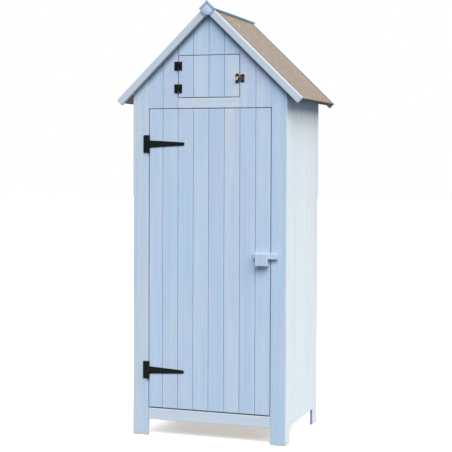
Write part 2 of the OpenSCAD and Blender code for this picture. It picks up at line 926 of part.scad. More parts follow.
module hatch_battens() {
    half = frame_inner - hatch_gap;
    color(paint) for (z = butt_heights)
        block([-half, door_back_y, z - hatch_batten_h / 2],
            [half, door_back_y + hatch_batten_t, z + hatch_batten_h / 2]);
}

module spindle_hole() {
    rotate([90, 0, 0]) cylinder(r = spindle_r + running_fit, h = 2 * board_t, center = true);
}

module hatch_latch_plate() {
    color(bronze) translate([turn_x, door_front_y, turn_z]) difference() {
        block([-turn_plate_w / 2, -turn_plate_t, -turn_plate_h / 2],
            [turn_plate_w / 2, 0, turn_plate_h / 2]);
        turn_screws(screw_fit);
        spindle_hole();
    }
}

module hatch_screws() {
    color(black_iron) {
        for (z = butt_heights) translate([butt_x, door_front_y, z]) butt_screws(1, 0);
        translate([turn_x, door_front_y, turn_z]) turn_screws(0);
    }
}

// The knob with its arm, which points to the strike plate at rest
module hatch_turn_knob() {
    spindle_end = door_front_y + peg_depth;
    color(bronze) translate([turn_x, 0, turn_z]) union() {
        upright(arm_back_y - arm_t, arm_back_y) {
            translate([0, -arm_w / 2]) square([arm_l - arm_w / 2, arm_w]);
            translate([arm_l - arm_w / 2, 0]) circle(r = arm_w / 2);
        }
        translate([0, arm_back_y, 0]) rotate([90, 0, 0]) cylinder(r = knob_r, h = knob_h);
        translate([0, arm_back_y, 0]) rotate([-90, 0, 0])
            cylinder(r = spindle_r, h = spindle_end - arm_back_y);
    }
}

front_left_stile();
front_right_stile();
front_bottom_rail();
hatch_sill_rail();
left_gable_boards();
right_gable_boards();
top_gable_boards();
left_side_boards();
right_side_boards();
back_boards();
corner_posts();
side_wall_battens();
back_wall_battens();
door_header();
door_stop();
hatch_frame();
floor_boards();
floor_bearers();
loft_boards();
shelf_uprights();
shelf_cleats();
lower_shelf();
middle_shelf();
upper_shelf();
rafters();
left_roof_boards();
right_roof_boards();
left_roof_felt();
right_roof_felt();
front_left_bargeboard();
front_right_bargeboard();
back_left_bargeboard();
back_right_bargeboard();
left_ridge_cap();
right_ridge_cap();
front_apex_plate();
back_apex_plate();
upper_hinge_plate();
lower_hinge_plate();
door_hinge_pins();
hatch_hinge_plates();
hatch_hinge_pins();
hatch_strike_plate();
cabinet_screws();
door_boards();
door_ledges();
door_braces();
upper_hinge_strap();
lower_hinge_strap();
door_screws();
latch_catch();
latch_dowel();
latch_bar();
hatch_boards();
hatch_battens();
hatch_hinge_leaves();
hatch_latch_plate();
hatch_screws();
hatch_turn_knob();
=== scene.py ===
import json
import math

import bpy
import numpy as np
from mathutils import Matrix, Vector


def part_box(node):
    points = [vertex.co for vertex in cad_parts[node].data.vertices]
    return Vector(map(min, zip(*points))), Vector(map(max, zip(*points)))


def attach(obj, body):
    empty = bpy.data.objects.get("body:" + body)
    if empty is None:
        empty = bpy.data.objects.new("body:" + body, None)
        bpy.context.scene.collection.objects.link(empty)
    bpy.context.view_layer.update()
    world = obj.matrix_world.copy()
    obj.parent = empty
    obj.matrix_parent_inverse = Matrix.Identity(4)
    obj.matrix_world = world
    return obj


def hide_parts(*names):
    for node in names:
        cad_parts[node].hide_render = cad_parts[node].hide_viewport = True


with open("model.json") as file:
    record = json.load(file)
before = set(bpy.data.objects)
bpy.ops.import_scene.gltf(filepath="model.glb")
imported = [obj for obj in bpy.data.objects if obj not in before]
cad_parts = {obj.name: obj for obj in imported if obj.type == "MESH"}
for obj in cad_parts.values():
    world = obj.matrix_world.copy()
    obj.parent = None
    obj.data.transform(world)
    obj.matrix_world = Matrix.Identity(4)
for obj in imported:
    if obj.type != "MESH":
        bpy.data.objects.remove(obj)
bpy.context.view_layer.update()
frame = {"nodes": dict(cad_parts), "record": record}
bodies = frame["record"]["behaviour"]["bodies"]
bodyOf = {node: body for body, nodes in bodies.items() for node in nodes}
slotOf = {part["node"]: part["material_slot"] for part in frame["record"]["subparts"]}

right, back, up = np.eye(3)


# Camera: where the photograph's own stood, found from the outline. The focal length and
# the optical axis's row are in pixels of the square picture.
cameraView = {
    "place": (1.6399, -4.7758, 1.1313),
    "yaw": 19.044, "pitch": -1.881, "roll": 0.2235,
    "focalPixels": 1199.2,
    "axisRow": 200.0,
    "pictureSide": 452,
    "sensor": 36.0,
    "farthest": 200.0,
}


def addObject(name, data):
    made = bpy.data.objects.new(name, data)
    bpy.context.scene.collection.objects.link(made)
    return made


def makeCamera(view):
    # level and facing the back at first, then turned, pitched and rolled
    data = bpy.data.cameras.new("camera")
    data.sensor_width = view["sensor"]
    data.lens = view["focalPixels"] * view["sensor"] / view["pictureSide"]
    data.shift_y = view["axisRow"] / view["pictureSide"] - 0.5
    data.clip_end = view["farthest"]
    stand = Matrix.Translation(view["place"])
    for degrees, axis in ((view["yaw"], "Z"), (90 + view["pitch"], "X"), (view["roll"], "Z")):
        stand = stand @ Matrix.Rotation(math.radians(degrees), 4, axis)
    camera = addObject("camera", data)
    camera.matrix_world = stand
    bpy.context.scene.camera = camera


makeCamera(cameraView)
print("camera placed")


# Shader expressions
def mathMethod(operation, turned=False):
    # a method that adds a Math node; turned puts the wire second
    def method(self, *others):
        values = (*others, self) if turned else (self, *others)
        return self.shade.node("Math", {"operation": operation}, dict(enumerate(values)))
    return method


class Wire:
    # one output of a node; arithmetic on it adds Math nodes
    def __init__(self, shade, socket):
        self.shade = shade
        self.socket = socket

    __add__ = __radd__ = mathMethod("ADD")
    __sub__ = mathMethod("SUBTRACT")
    __rsub__ = mathMethod("SUBTRACT", turned=True)
    __mul__ = __rmul__ = mathMethod("MULTIPLY")
    __truediv__ = mathMethod("DIVIDE")
    __pow__ = mathMethod("POWER")
    __abs__ = mathMethod("ABSOLUTE")
    fraction = mathMethod("FRACT")

    def between(self, low, high):
        # 0 at low and below, 1 at high and above, smooth between them
        return self.shade.node("MapRange", {"interpolation_type": "SMOOTHSTEP"},
                               {"Value": self, "From Min": low, "From Max": high})


class Shade:
    # the node tree of a new material or world
    def __init__(self, name, family=bpy.data.materials):
        self.owner = family.new(name)
        self.owner.use_nodes = True
        self.tree = self.owner.node_tree
        self.tree.nodes.clear()

    def node(self, kind, settings=None, values=None, output=0):
        made = self.tree.nodes.new("ShaderNode" + kind)
        for key, value in (settings or {}).items():
            if key == "stops":
                ramp = made.color_ramp
                while len(ramp.elements) < len(value):
                    ramp.elements.new(0.5)
                for element, (place, colour) in zip(ramp.elements, value):
                    element.position = place
                    element.color = (*colour, 1)
            else:
                setattr(made, key, value)
        for key, value in (values or {}).items():
            socket = made.inputs[key]
            if isinstance(value, Wire):
                self.tree.links.new(value.socket, socket)
            elif isinstance(value, tuple) and socket.type == "RGBA":
                socket.default_value = (*value[:3], 1)
            else:
                socket.default_value = value
        return Wire(self, made.outputs[output]) if made.outputs else None

    def attribute(self, name, output="Vector"):
        return self.node("Attribute", {"attribute_name": name}, output=output)

    def place(self):
        return self.node("TexCoord", output="Object")

    def vector(self, operation, *values, output=0):
        return self.node("VectorMath", {"operation": operation}, dict(enumerate(values)), output)

    def part(self, vector, axis):
        return self.node("SeparateXYZ", values={"Vector": vector}, output=axis)

    def noise(self, vector, scale, detail=3.0, roughness=0.5):
        # scale is in cycles per metre, one number or one for each axis
        if isinstance(scale, tuple):
            vector, scale = self.vector("MULTIPLY", vector, scale), 1.0
        return self.node("TexNoise", None, {
            "Vector": vector, "Scale": scale, "Detail": detail, "Roughness": roughness})

    def cells(self, vector, scale=1.0, output="Distance"):
        return self.node("TexVoronoi", None, {"Vector": vector, "Scale": scale}, output)

    def mix(self, factor, first, second, blend="MIX"):
        # sockets 6 and 7 of a Mix node are its two colours, and output 2 the mixed one
        return self.node("Mix", {"data_type": "RGBA", "blend_type": blend},
                         {0: factor, 6: first, 7: second}, output=2)

    def brighten(self, colour, amount):
        # the colour times a number that varies
        return self.node("VectorMath", {"operation": "SCALE"}, {0: colour, "Scale": amount})

    def finish(self, height=None, depth=0.001, strength=1.0, **sockets):
        values = {key.replace("_", " "): value for key, value in sockets.items()}
        if height is not None:
            values["Normal"] = self.node("Bump", None, {
                "Height": height, "Distance": depth, "Strength": strength})
        surface = self.node("BsdfPrincipled", None, values)
        self.node("OutputMaterial", None, {"Surface": surface})
        return self.owner


# Wood: the "grain" attribute holds each board's own coordinates in metres, with the
# tree's heart along its third axis, and "board" holds its random hue, shade and wear.
# The "edge" attribute is 1 where an edge is rubbed and -1 in a joint, and also -1 along a
# back bargeboard's top front edge, which the joint colour paints as a shadow line.
woodGrain = {
    # cycles per metre, two across the grain and one along it
    "drift": (14.0, 14.0, 1.6),
    "knots": (9.0, 0.0, 4.0),
    "fibre": (900.0, 900.0, 14.0),
    "streak": (95.0, 60.0, 1.3),
    "knotShare": 0.2,
    # metres that the rings wander, and bend round a knot
    "wander": 0.012,
    "bend": 0.010,
}


def woodFigure(shade, spacing, values=woodGrain):
    grain = shade.attribute("grain")
    drift = shade.noise(grain, values["drift"], 2.0)
    fromHeart = shade.vector("LENGTH", shade.vector("MULTIPLY", grain, (1.0, 1.0, 0.0)), output=1)
    knotField = shade.vector("MULTIPLY", grain, values["knots"])
    knotAway = shade.cells(knotField)
    knotPick = shade.part(shade.cells(knotField, output="Color"), 0)
    knotKept = knotPick.between(1 - values["knotShare"], 1.02 - values["knotShare"])
    around = (1 - knotAway.between(0.02, 0.22)) * knotKept
    rings = ((fromHeart + drift * values["wander"] + around * values["bend"]) / spacing).fraction()
    late = rings ** 3.0
    fibre = shade.noise(grain, values["fibre"], 3.0, 0.6)
    streak = shade.noise(grain, values["streak"], 3.0, 0.55)
    knot = (1 - knotAway.between(0.035, 0.075)) * knotKept
    return grain, late, fibre, streak, knot


paintedBoard = {
    "sky": (0.318, 0.462, 0.640),
    "lilac": (0.368, 0.450, 0.625),
    "pale": (0.450, 0.520, 0.585),
    "paleness": 0.0,
    "worn": (0.560, 0.610, 0.640),
    "joint": (0.225, 0.315, 0.470),
    # painted shade under the roof's edges: its colour, its strength and its depth below the bargeboards
    "paintedShade": (0.072, 0.112, 0.125),
    "paintedShadeShare": 0.0,
    "paintedShadeDepth": 0.038,
    "endGrain": (0.250, 0.330, 0.420),
    "endShare": 0.7,
    "ground": (0.42, 0.36, 0.25),
    "splashHeight": 0.022,
    # cycles per metre of the warmer clouds and of the thin, milky places
    "cloud": (9.0, 9.0, 1.4),
    "milk": (34.0, 34.0, 2.2),
    "ringSpacing": 0.0042,
    "coatRoughness": 0.50,
    "coatSpecular": 0.3,
}


def paintedMaterial(name, values):
    shade = Shade(name)
    grain, late, fibre, streak, knot = woodFigure(shade, values["ringSpacing"])
    board = shade.attribute("board")
    hue, tone, wear = (shade.part(board, axis) for axis in range(3))
    cloud = shade.noise(grain, values["cloud"], 3.0, 0.6)
    warmth = (cloud * 1.5 + hue * 0.26 - 0.38).between(0.0, 1.0)
    colour = shade.mix(warmth, values["sky"], values["lilac"])
    milk = shade.noise(grain, values["milk"], 4.0, 0.62)
    thin = (milk * 1.3 + tone * 0.30 + values["paleness"] - 0.62).between(0.05, 0.75)
    colour = shade.mix(thin * 0.7, colour, values["pale"])
    dark = 1.06 - late * 0.035 - (fibre - 0.5) * 0.08 - (streak - 0.5) * 0.20 - knot * 0.13
    colour = shade.brighten(colour, dark + (tone - 0.5) * 0.03)
    edge = shade.attribute("edge", "Fac")
    rub = (edge + wear * 0.4 + milk * 0.8 - 1.15).between(0.0, 0.6)
    inJoint = (edge * -1.0).between(0.1, 1.0)
    atEnd = shade.attribute("endGrain", "Fac")
    height = shade.part(shade.place(), 2)
    splash = (1 - height.between(0.0, values["splashHeight"])) * (milk * 1.6 - 0.2)
    for factor, layer in ((rub * 0.5, "worn"), (inJoint * 0.85, "joint"),
                          (atEnd * values["endShare"], "endGrain"), (splash * 0.5, "ground")):
        colour = shade.mix(factor, colour, values[layer])
    if values["paintedShadeShare"]:
        # painted shade: the walls darken just under the bargeboards and the eaves, where the roof's
        # shadow falls
        underRoof = height + abs(shade.part(shade.place(), 0)) * fall
        paintedShaded = underRoof.between(bargeLine - values["paintedShadeDepth"], bargeLine) ** 1.5
        colour = shade.mix(paintedShaded * values["paintedShadeShare"], colour, values["paintedShade"])
    relief = late * 0.35 + fibre * 0.5 + streak * 0.3 - knot * 0.5
    rough = values["coatRoughness"] + fibre * 0.2 + rub * 0.1
    return shade.finish(relief, depth=0.0006, strength=0.5, Base_Color=colour, Roughness=rough,
                        Specular_IOR_Level=values["coatSpecular"])


bareBoard = {
    "early": (0.60, 0.42, 0.25),
    "late": (0.36, 0.21, 0.10),
    "knot": (0.18, 0.09, 0.04),
    "ringSpacing": 0.0046,
}


def bareMaterial(values):
    shade = Shade("planedPine")
    grain, late, fibre, streak, knot = woodFigure(shade, values["ringSpacing"])
    tone = shade.part(shade.attribute("board"), 1)
    colour = shade.mix(late * 0.55, values["early"], values["late"])
    light = 1.1 - (fibre - 0.5) * 0.3 - (streak - 0.5) * 0.5 + (tone - 0.5) * 0.18
    colour = shade.brighten(colour, light)
    colour = shade.mix(knot * 0.85, colour, values["knot"])
    colour = shade.mix(shade.attribute("endGrain", "Fac") * 0.45, colour, values["late"])
    relief = late * 0.3 + fibre * 0.6 - knot * 0.4
    return shade.finish(relief, depth=0.0005, strength=0.5, Base_Color=colour,
                        Roughness=0.58 + fibre * 0.2)


roofFelt = {
    "granules": ((0.0, (0.068, 0.062, 0.060)), (0.35, (0.134, 0.124, 0.120)),
                 (0.62, (0.203, 0.190, 0.186)), (1.0, (0.305, 0.288, 0.285))),
    "rosy": (1.05, 0.975, 0.97),
    "mossy": (0.965, 1.015, 0.955),
    "bitumen": (0.006, 0.0045, 0.003),
    # cycles per metre
    "granuleCells": 650.0,
    "clump": 130.0,
    "blotch": 48.0,
    "tint": 37.0,
    "patch": 9.0,
}


def feltMaterial(values):
    shade = Shade("mineralFelt")
    place = shade.place()
    stones = shade.cells(place, values["granuleCells"])
    pick = shade.part(shade.cells(place, values["granuleCells"], "Color"), 0)
    clump = shade.noise(place, values["clump"], 4.0, 0.7)
    patch = shade.noise(place, values["patch"], 3.0, 0.6)
    blotch = shade.noise(place, values["blotch"], 2.0)
    factor = pick * 0.42 + clump * 0.75 + patch * 0.25 + blotch * 0.5 - 0.47
    colour = shade.node("ValToRGB", {"stops": values["granules"]}, {0: factor})
    warmer = shade.noise(place, values["tint"], 2.0).between(0.38, 0.62)
    colour = shade.mix(1.0, colour, shade.mix(warmer, values["rosy"], values["mossy"]), "MULTIPLY")
    bare = shade.attribute("edge", "Fac").between(0.25, 0.9)
    colour = shade.mix(bare, colour, values["bitumen"])
    relief = (1 - stones) * 0.6 + clump * 0.6
    return shade.finish(relief, depth=0.0012, strength=0.8, Base_Color=colour,
                        Roughness=0.88 - bare * 0.1, Specular_IOR_Level=0.15)


blackIron = {
    "paint": (0.006, 0.008, 0.0065),
    "dust": (0.013, 0.016, 0.012),
    "rust": (0.045, 0.026, 0.016),
    "specular": 0.05,
    # cycles per metre
    "peel": 900.0,
    "patch": 70.0,
}


def ironMaterial(values):
    shade = Shade("blackIron")
    place = shade.place()
    peel = shade.noise(place, values["peel"])
    patch = shade.noise(place, values["patch"], 4.0, 0.65)
    colour = shade.mix(patch.between(0.45, 0.80), values["paint"], values["dust"])
    edge = shade.attribute("edge", "Fac")
    rubbed = (edge * 0.8 + patch - 0.95).between(0.0, 0.45)
    colour = shade.mix(rubbed * 0.7, colour, values["rust"])
    return shade.finish(peel * 0.6 + patch * 0.5, depth=0.0004, strength=0.6, Base_Color=colour,
                        Metallic=rubbed * 0.2, Roughness=0.46 + peel * 0.2 + rubbed * 0.1,
                        Specular_IOR_Level=values["specular"])


agedBronze = {
    "dark": (0.012, 0.0115, 0.010),
    "bronze": (0.092, 0.072, 0.052),
    "bright": (0.40, 0.33, 0.25),
    # cycles per metre
    "patch": 160.0,
    "pit": 1400.0,
}


def bronzeMaterial(values):
    shade = Shade("agedBronze")
    place = shade.place()
    patch = shade.noise(place, values["patch"], 4.0, 0.65)
    pit = shade.noise(place, values["pit"], 2.0)
    colour = shade.mix(patch.between(0.35, 0.70), values["dark"], values["bronze"])
    edge = shade.attribute("edge", "Fac")
    rubbed = (edge * 0.9 + patch * 0.6 - 0.55).between(0.0, 0.6)
    colour = shade.mix(rubbed * 0.8, colour, values["bright"])
    return shade.finish(pit * 0.5 + patch * 0.6, depth=0.0004, strength=0.6, Base_Color=colour,
                        Metallic=0.85, Roughness=0.34 + pit * 0.2 + (1 - rubbed) * 0.14)


# Shapes
def easedOutline(corners, radii, steps=2, band=0.003, wear=1.0):
    # each corner becomes an arc, (1-t)^2 start + 2t(1-t) corner + t^2 stop, between the two
    # points one radius along its edges, with a point beyond each that bounds the worn strip
    corners = np.asarray(corners, float)
    ways = np.stack([np.roll(corners, 1, 0), np.roll(corners, -1, 0)]) - corners
    lengths = np.linalg.norm(ways, axis=2)
    ways = ways / lengths[:, :, None]
    radii = np.minimum(np.broadcast_to(radii, len(corners)), 0.4 * lengths.min(0))
    reach = np.minimum(radii + band, 0.49 * lengths)
    start, stop = (corners + ways * radii[:, None])[:, :, None]
    first, last = (corners + ways * reach[:, :, None])[:, :, None]
    t = np.linspace(0, 1, steps + 1)[None, :, None]
    arc = (1 - t) ** 2 * start + 2 * t * (1 - t) * corners[:, None] + t ** 2 * stop
    points = np.concatenate([first, arc, last], 1).reshape(-1, 2)
    worn = np.concatenate([[0], 0.6 + 0.4 * np.sin(np.pi * t.ravel()), [0]])
    worn = np.outer(np.broadcast_to(wear, len(corners)), worn).ravel()
    return points, worn, np.repeat(radii, steps + 3)


def arcPoints(first, last, count):
    # points on a circle of radius 1, from one angle to another in degrees
    angle = np.radians(np.linspace(first, last, count))
    return np.stack([np.cos(angle), np.sin(angle)], 1)


def signedArea(flat):
    # twice an outline's area, below zero where it runs clockwise
    return np.sum(flat[:, 0] * np.roll(flat[:, 1], -1) - np.roll(flat[:, 0], -1) * flat[:, 1])


def shellFaces(rings, count, mirrored):
    # quads between each ring and the next and a cap at each end, turned over if mirrored
    start, here = np.arange(rings - 1)[:, None] * count, np.arange(count)
    near, far = start + here, start + np.roll(here, -1)
    faces = np.stack([near, far, far + count, near + count], 2).reshape(-1, 4).tolist()
    faces += [list(range(count))[::-1], list(range((rings - 1) * count, rings * count))]
    return [face[::-1] for face in faces] if mirrored else faces


class Build:
    # gathers closed shells, with their attributes, into one mesh
    def __init__(self, seed):
        self.random = np.random.default_rng(seed)
        self.points, self.faces, self.total = [], [], 0
        self.layers = {"edge": [], "endGrain": [], "grain": [], "board": []}

    def add(self, points, faces, **given):
        self.faces += [[corner + self.total for corner in face] for face in faces]
        self.points.append(points)
        for name, parts in self.layers.items():
            width = 3 if name in ("grain", "board") else 1
            parts.append(np.reshape(given.get(name, np.zeros((len(points), width))), (-1, width)))
        self.total += len(points)

    def sweep(self, outline, axes, low, high, origin=(0, 0, 0), ease=0.0011, lengthAxis=2):
        # rings of the outline along the third axis, from low to high, which are numbers or
        # functions of the outline's points; the rings near each end shrink by the easing.
        # The wood's grain runs along the length axis.
        flat, worn, reach = outline
        axes = np.array(axes)
        if signedArea(flat) < 0:
            flat, worn, reach = flat[::-1], worn[::-1], reach[::-1]
        tangent = np.roll(flat, -1, 0) - np.roll(flat, 1, 0)
        normal = np.stack([tangent[:, 1], -tangent[:, 0]], 1)
        normal /= np.maximum(np.linalg.norm(normal, axis=1), 1e-9)[:, None]
        start, stop = (end(flat) if callable(end) else np.full(len(flat), end, float)
                       for end in (low, high))
        turn = np.linspace(0, np.pi / 2, 3)
        shrink = np.append(1 - np.sin(turn), 0)[:, None]
        offset = np.append(ease * (1 - np.cos(turn)), ease + 0.003)[:, None]
        offset = np.minimum(offset, 0.45 * (stop - start))
        inset = shrink * np.minimum(ease, reach)
        along = np.concatenate([start + offset, (stop - offset)[::-1]])
        inset = np.concatenate([inset, inset[::-1]])
        ring = flat[None] - normal[None] * inset[:, :, None]
        local = np.concatenate([ring, along[:, :, None]], 2).reshape(-1, 3)
        points = local @ axes + origin
        rings, count = along.shape
        endWorn = np.repeat([0, 1, 0.6, 0, 0, 0.6, 1, 0], count)
        inner = np.repeat([0, 1, 1, 1, 1, 1, 1, 0], count)
        edge = np.tile(worn, rings) * inner
        edge = np.where(np.abs(edge) < endWorn, endWorn, edge)
        endGrain = np.repeat([1, 0.5, 0, 0, 0, 0, 0.5, 1], count) * (lengthAxis == 2)
        order = [(lengthAxis + 1) % 3, (lengthAxis + 2) % 3, lengthAxis]
        heart = self.random.uniform((-0.035, 0.02, 0), (0.035, 0.09, 60))
        middle = (local.min(0) + local.max(0)) / 2
        board = np.tile(self.random.uniform(0, 1, 3), (len(points), 1))
        self.add(points, shellFaces(rings, count, np.linalg.det(axes) < 0), edge=edge,
                 endGrain=endGrain, grain=(local - middle)[:, order] + heart, board=board)

    def lathe(self, profile, axes, origin, count=28, height=None, worn=0.0):
        # the profile's (radius, height) pairs turned about the third axis; height adds a
        # function of the place on the disc, and worn is the least wear
        profile, axes = np.array(profile), np.array(axes)
        flat = profile[:, :1, None] * arcPoints(0, 360 - 360 / count, count)
        along = np.repeat(profile[:, 1:], count, 1)
        if height is not None:
            along += height(flat)
        local = np.concatenate([flat, along[:, :, None]], 2).reshape(-1, 3)
        points = local @ axes + origin
        bend = np.abs(np.gradient(np.arctan2(*np.gradient(profile, axis=0).T[::-1])))
        self.add(points, shellFaces(len(profile), count, np.linalg.det(axes) < 0),
                 edge=np.repeat(np.clip(bend, worn, 1), count))

    def finish(self, node):
        # the mesh becomes the piece that stands in for the node, on its body
        name = node + "_dressed"
        mesh = bpy.data.meshes.new(name)
        mesh.from_pydata(np.concatenate(self.points).tolist(), [], self.faces)
        for key, parts in self.layers.items():
            values = np.concatenate(parts).astype(np.float32)
            kind, field = ("FLOAT_VECTOR", "vector") if values.shape[1] == 3 else ("FLOAT", "value")
            mesh.attributes.new(key, kind, "POINT").data.foreach_set(field, values.ravel())
        mesh.shade_smooth()
        mesh.set_sharp_from_angle(angle=math.radians(38))
        mesh.materials.append(materials[lookOf[node]])
        if node in frontLooks:
            mesh.materials.append(materials[frontLooks[node]])
            normals = np.empty(3 * len(mesh.polygons))
            mesh.polygons.foreach_get("normal", normals)
            mesh.polygons.foreach_set("material_index", (normals[1::3] < -0.7).astype(np.int32))
        piece = addObject(name, mesh)
        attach(piece, bodyOf[node])
        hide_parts(node)


def solidsOf(node, axis=right):
    # the node's separate solids as arrays of points, in order along the axis: each corner
    # takes the lowest label among the triangles round it until nothing changes
    mesh = frame["nodes"][node].data
    points = np.empty(3 * len(mesh.vertices))
    mesh.vertices.foreach_get("co", points)
    corners = np.empty(3 * len(mesh.polygons), int)
    mesh.polygons.foreach_get("vertices", corners)
    points, index = np.unique(np.round(points.reshape(-1, 3), 5), axis=0, return_inverse=True)
    triangles = index.ravel()[corners].reshape(-1, 3)
    label, before = np.arange(len(points)), 0
    while np.any(label != before):
        before = label.copy()
        np.minimum.at(label, triangles.ravel(), np.repeat(label[triangles].min(1), 3))
        label = label[label]
    found = [points[label == value] for value in np.unique(label[triangles])]
    return sorted(found, key=lambda solid: (solid @ axis).min())


def spanOf(points, axis):
    reach = points @ axis
    return reach.min(), reach.max()


def centreOf(solid):
    return (solid.min(0) + solid.max(0)) / 2


def frontOf(solid):
    # the corners of the solid's flat front face
    return solid[solid[:, 1] < solid[:, 1].min() + 1e-5]


# The roof's slopes fall from the ridge to the bargeboards' upper corners: fall is the
# drop for each metre outwards, and stretch the length along the slope
ridge = np.array([0, 0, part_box("front_right_bargeboard")[1].z])
tip = max(solidsOf("front_right_bargeboard")[0], key=lambda point: point[0])
fall = (ridge[2] - tip[2]) / tip[0]
stretch = math.hypot(1, fall)
# each slope's directions: down it, and inwards, square to it
slopeAxes = {side: (np.array([way, 0, -fall]) / stretch, np.array([-fall * way, 0, -1]) / stretch)
             for side, way in (("left", -1), ("right", 1))}


def roofLine(node):
    # the height at which the underside of a row on the right slope meets the centre plane
    inward = slopeAxes["right"][1]
    return ridge[2] - spanOf(np.concatenate(solidsOf(node, back)) - ridge, inward)[1] * stretch


def underLine(line, top, axes, origin=(0, 0, 0)):
    # the end of an upright piece that is cut along a roof line, as a function of its outline
    def end(flat):
        x = flat @ np.array(axes)[:2, 0] + origin[0]
        return np.minimum(top, line - fall * np.abs(x))
    return end


deckLine = roofLine("right_roof_boards")
rafterDepth = np.ptp(spanOf(solidsOf("rafters")[-1], slopeAxes["right"][1]))
rafterLine = deckLine - rafterDepth * stretch
bargeLine = roofLine("front_right_bargeboard")


# The left stile and the rails have a thinner stain, and the side walls a thinner one still,
# which also stands in as painted light for the strong light on the sides. The walls and
# stiles darken under the roof's edges as painted shade. The bargeboards are greyer, and at
# the back their ends are black with wet and their top front edge is a painted shadow line.
# The roof boards are near black as painted shade under the eaves.
weathered = {"paleness": 0.55, "pale": (0.400, 0.468, 0.535), "worn": (0.62, 0.65, 0.67)}
stains = {
    "painted_board": ("paleBlueStain", {}),
    # painted shade: this look darkens the walls just under the roof's edges
    "roofShaded": ("roofShadedBlueStain", {"paintedShadeShare": 0.75, "paintedShadeDepth": 0.048}),
    "paler": ("thinBlueStain", {"paleness": 0.42, "paintedShadeShare": 0.6}),
    "weathered": ("greyedBlueStain", weathered),
    # painted shadow: this look's near-black joint colour only lines a back bargeboard's top front edge
    "wetEndedShadowLined": ("wetEndedShadowLinedStain", weathered | {
        "endGrain": (0.012, 0.012, 0.010), "endShare": 1.0, "joint": (0.030, 0.033, 0.030)}),
    # partly a thinner stain, partly painted light: the sides are paler as if in strong light, and
    # darker under the eaves as painted shade
    "palestSideLit": ("fadedSideLitStain", {
        "paleness": 0.50, "pale": (0.478, 0.562, 0.655), "sky": (0.345, 0.495, 0.690),
        "lilac": (0.390, 0.480, 0.670), "coatSpecular": 0.08, "paintedShadeShare": 0.9, "paintedShadeDepth": 0.050}),
    "handled": ("handledBlueStain", {
        "paleness": 0.30, "pale": (0.400, 0.450, 0.500), "worn": (0.430, 0.480, 0.520)}),
    # painted shade: the roof boards are near black so the undersides of the eaves look deep in shade
    "dark_board": ("eaveShadeNearBlack", {
        "sky": (0.028, 0.034, 0.032), "lilac": (0.024, 0.030, 0.030), "pale": (0.050, 0.056, 0.050),
        "worn": (0.06, 0.07, 0.06), "joint": (0.012, 0.014, 0.012), "endGrain": (0.04, 0.038, 0.03)}),
}
materials = {look: paintedMaterial(name, paintedBoard | changes)
             for look, (name, changes) in stains.items()}
materials |= {
    "bare_board": bareMaterial(bareBoard),
    "mineral_felt": feltMaterial(roofFelt),
    "black_iron": ironMaterial(blackIron),
    "aged_bronze": bronzeMaterial(agedBronze),
}
# the pieces whose look isn't their slot's own, and the other look of some front faces
looks = {
    "paler": ("front_left_stile", "front_bottom_rail", "hatch_sill_rail"),
    "roofShaded": ("front_right_stile", "left_gable_boards", "right_gable_boards", "top_gable_boards",
                  "back_boards"),
    "palestSideLit": ("left_side_boards", "right_side_boards"),
    "weathered": ("front_left_bargeboard", "front_right_bargeboard"),
    "wetEndedShadowLined": ("back_left_bargeboard", "back_right_bargeboard"),
    "handled": ("latch_catch", "latch_bar"),
}
# the side boards' front faces keep a front stain, so only their sides take the paler, side-lit colour
frontLooks = {"left_side_boards": "paler", "right_side_boards": "roofShaded"}
lookOf = slotOf | {node: look for look, nodes in looks.items() for node in nodes}
print("materials made:", len(materials))


tonguedBoard = {
    "gap": 0.0006,
    "bevel": 0.002,
    "tongueThickness": 0.004,
    "tongueLength": 0.005,
    "fit": 0.0003,
    "bevelEase": 0.0008,
    "hiddenEase": 0.0003,
}


def tonguedOutline(low, high, thickness, groove, tongue, square, values=tonguedBoard):
    # a board's outline with its bevelled face at zero depth; square leaves the bevel off an
    # edge that has neither groove nor tongue
    bevel, length, fit = values["bevel"], values["tongueLength"], values["fit"]
    first = (thickness - values["tongueThickness"]) / 2
    last = first + values["tongueThickness"]
    soft, small = values["bevelEase"], values["hiddenEase"]

    def stepTo(edge, one, other):
        # the four corners of the groove in an edge, or of the tongue on it
        return [(edge, one, small, -1), (edge + length, one, small, -1),
                (edge + length, other, small, -1), (edge, other, small, -1)]

    if square and not groove:
        corners = [(low, 0, soft, 0.6)]
    else:
        corners = [(low + bevel, 0, soft, -0.25), (low, bevel, soft, -1)]
    corners += stepTo(low, first - fit, last + fit) * groove
    corners += [(low, thickness, soft, 0), (high, thickness, soft, 0)]
    corners += stepTo(high, last, first) * tongue
    if square and not tongue:
        corners += [(high, 0, soft, 0.6)]
    else:
        corners += [(high, bevel, soft, -1), (high - bevel, 0, soft, -0.25)]
    corners = np.array(corners)
    return easedOutline(corners[:, :2], corners[:, 2], band=0.0006, wear=corners[:, 3])


def addBoards(build, node, across, outward, along, line=None, firstLow=None, square=True):
    # one tongued board for each solid of a node, in order in the tongues' direction, each
    # cut along a roof line if there is one
    axes = np.array([across, -outward, along])
    solids = solidsOf(node, axes[0])
    for index, solid in enumerate(solids):
        (left, side), (front, rear), (bottom, top) = (spanOf(solid, axis) for axis in axes)
        last = index == len(solids) - 1
        if not last:
            side = spanOf(solids[index + 1], axes[0])[0] - tonguedBoard["gap"]
        if index == 0 and firstLow is not None:
            left = firstLow
        outline = tonguedOutline(left, side, rear - front, index > 0, not last, square)
        origin = axes[1] * front
        end = underLine(line, top, axes, origin) if line else top
        build.sweep(outline, axes, bottom, end, origin)
    build.finish(node)


# Walls: each row's direction of the tongues, the way it faces, and whether its outer edges
# are square
wallRows = {
    "front_left_stile": (right, -back, True),
    "front_right_stile": (right, -back, True),
    "left_gable_boards": (right, -back, True),
    "right_gable_boards": (right, -back, True),
    "top_gable_boards": (right, -back, False),
    "back_boards": (-right, back, True),
    "left_side_boards": (back, -right, True),
    "right_side_boards": (back, right, True),
}


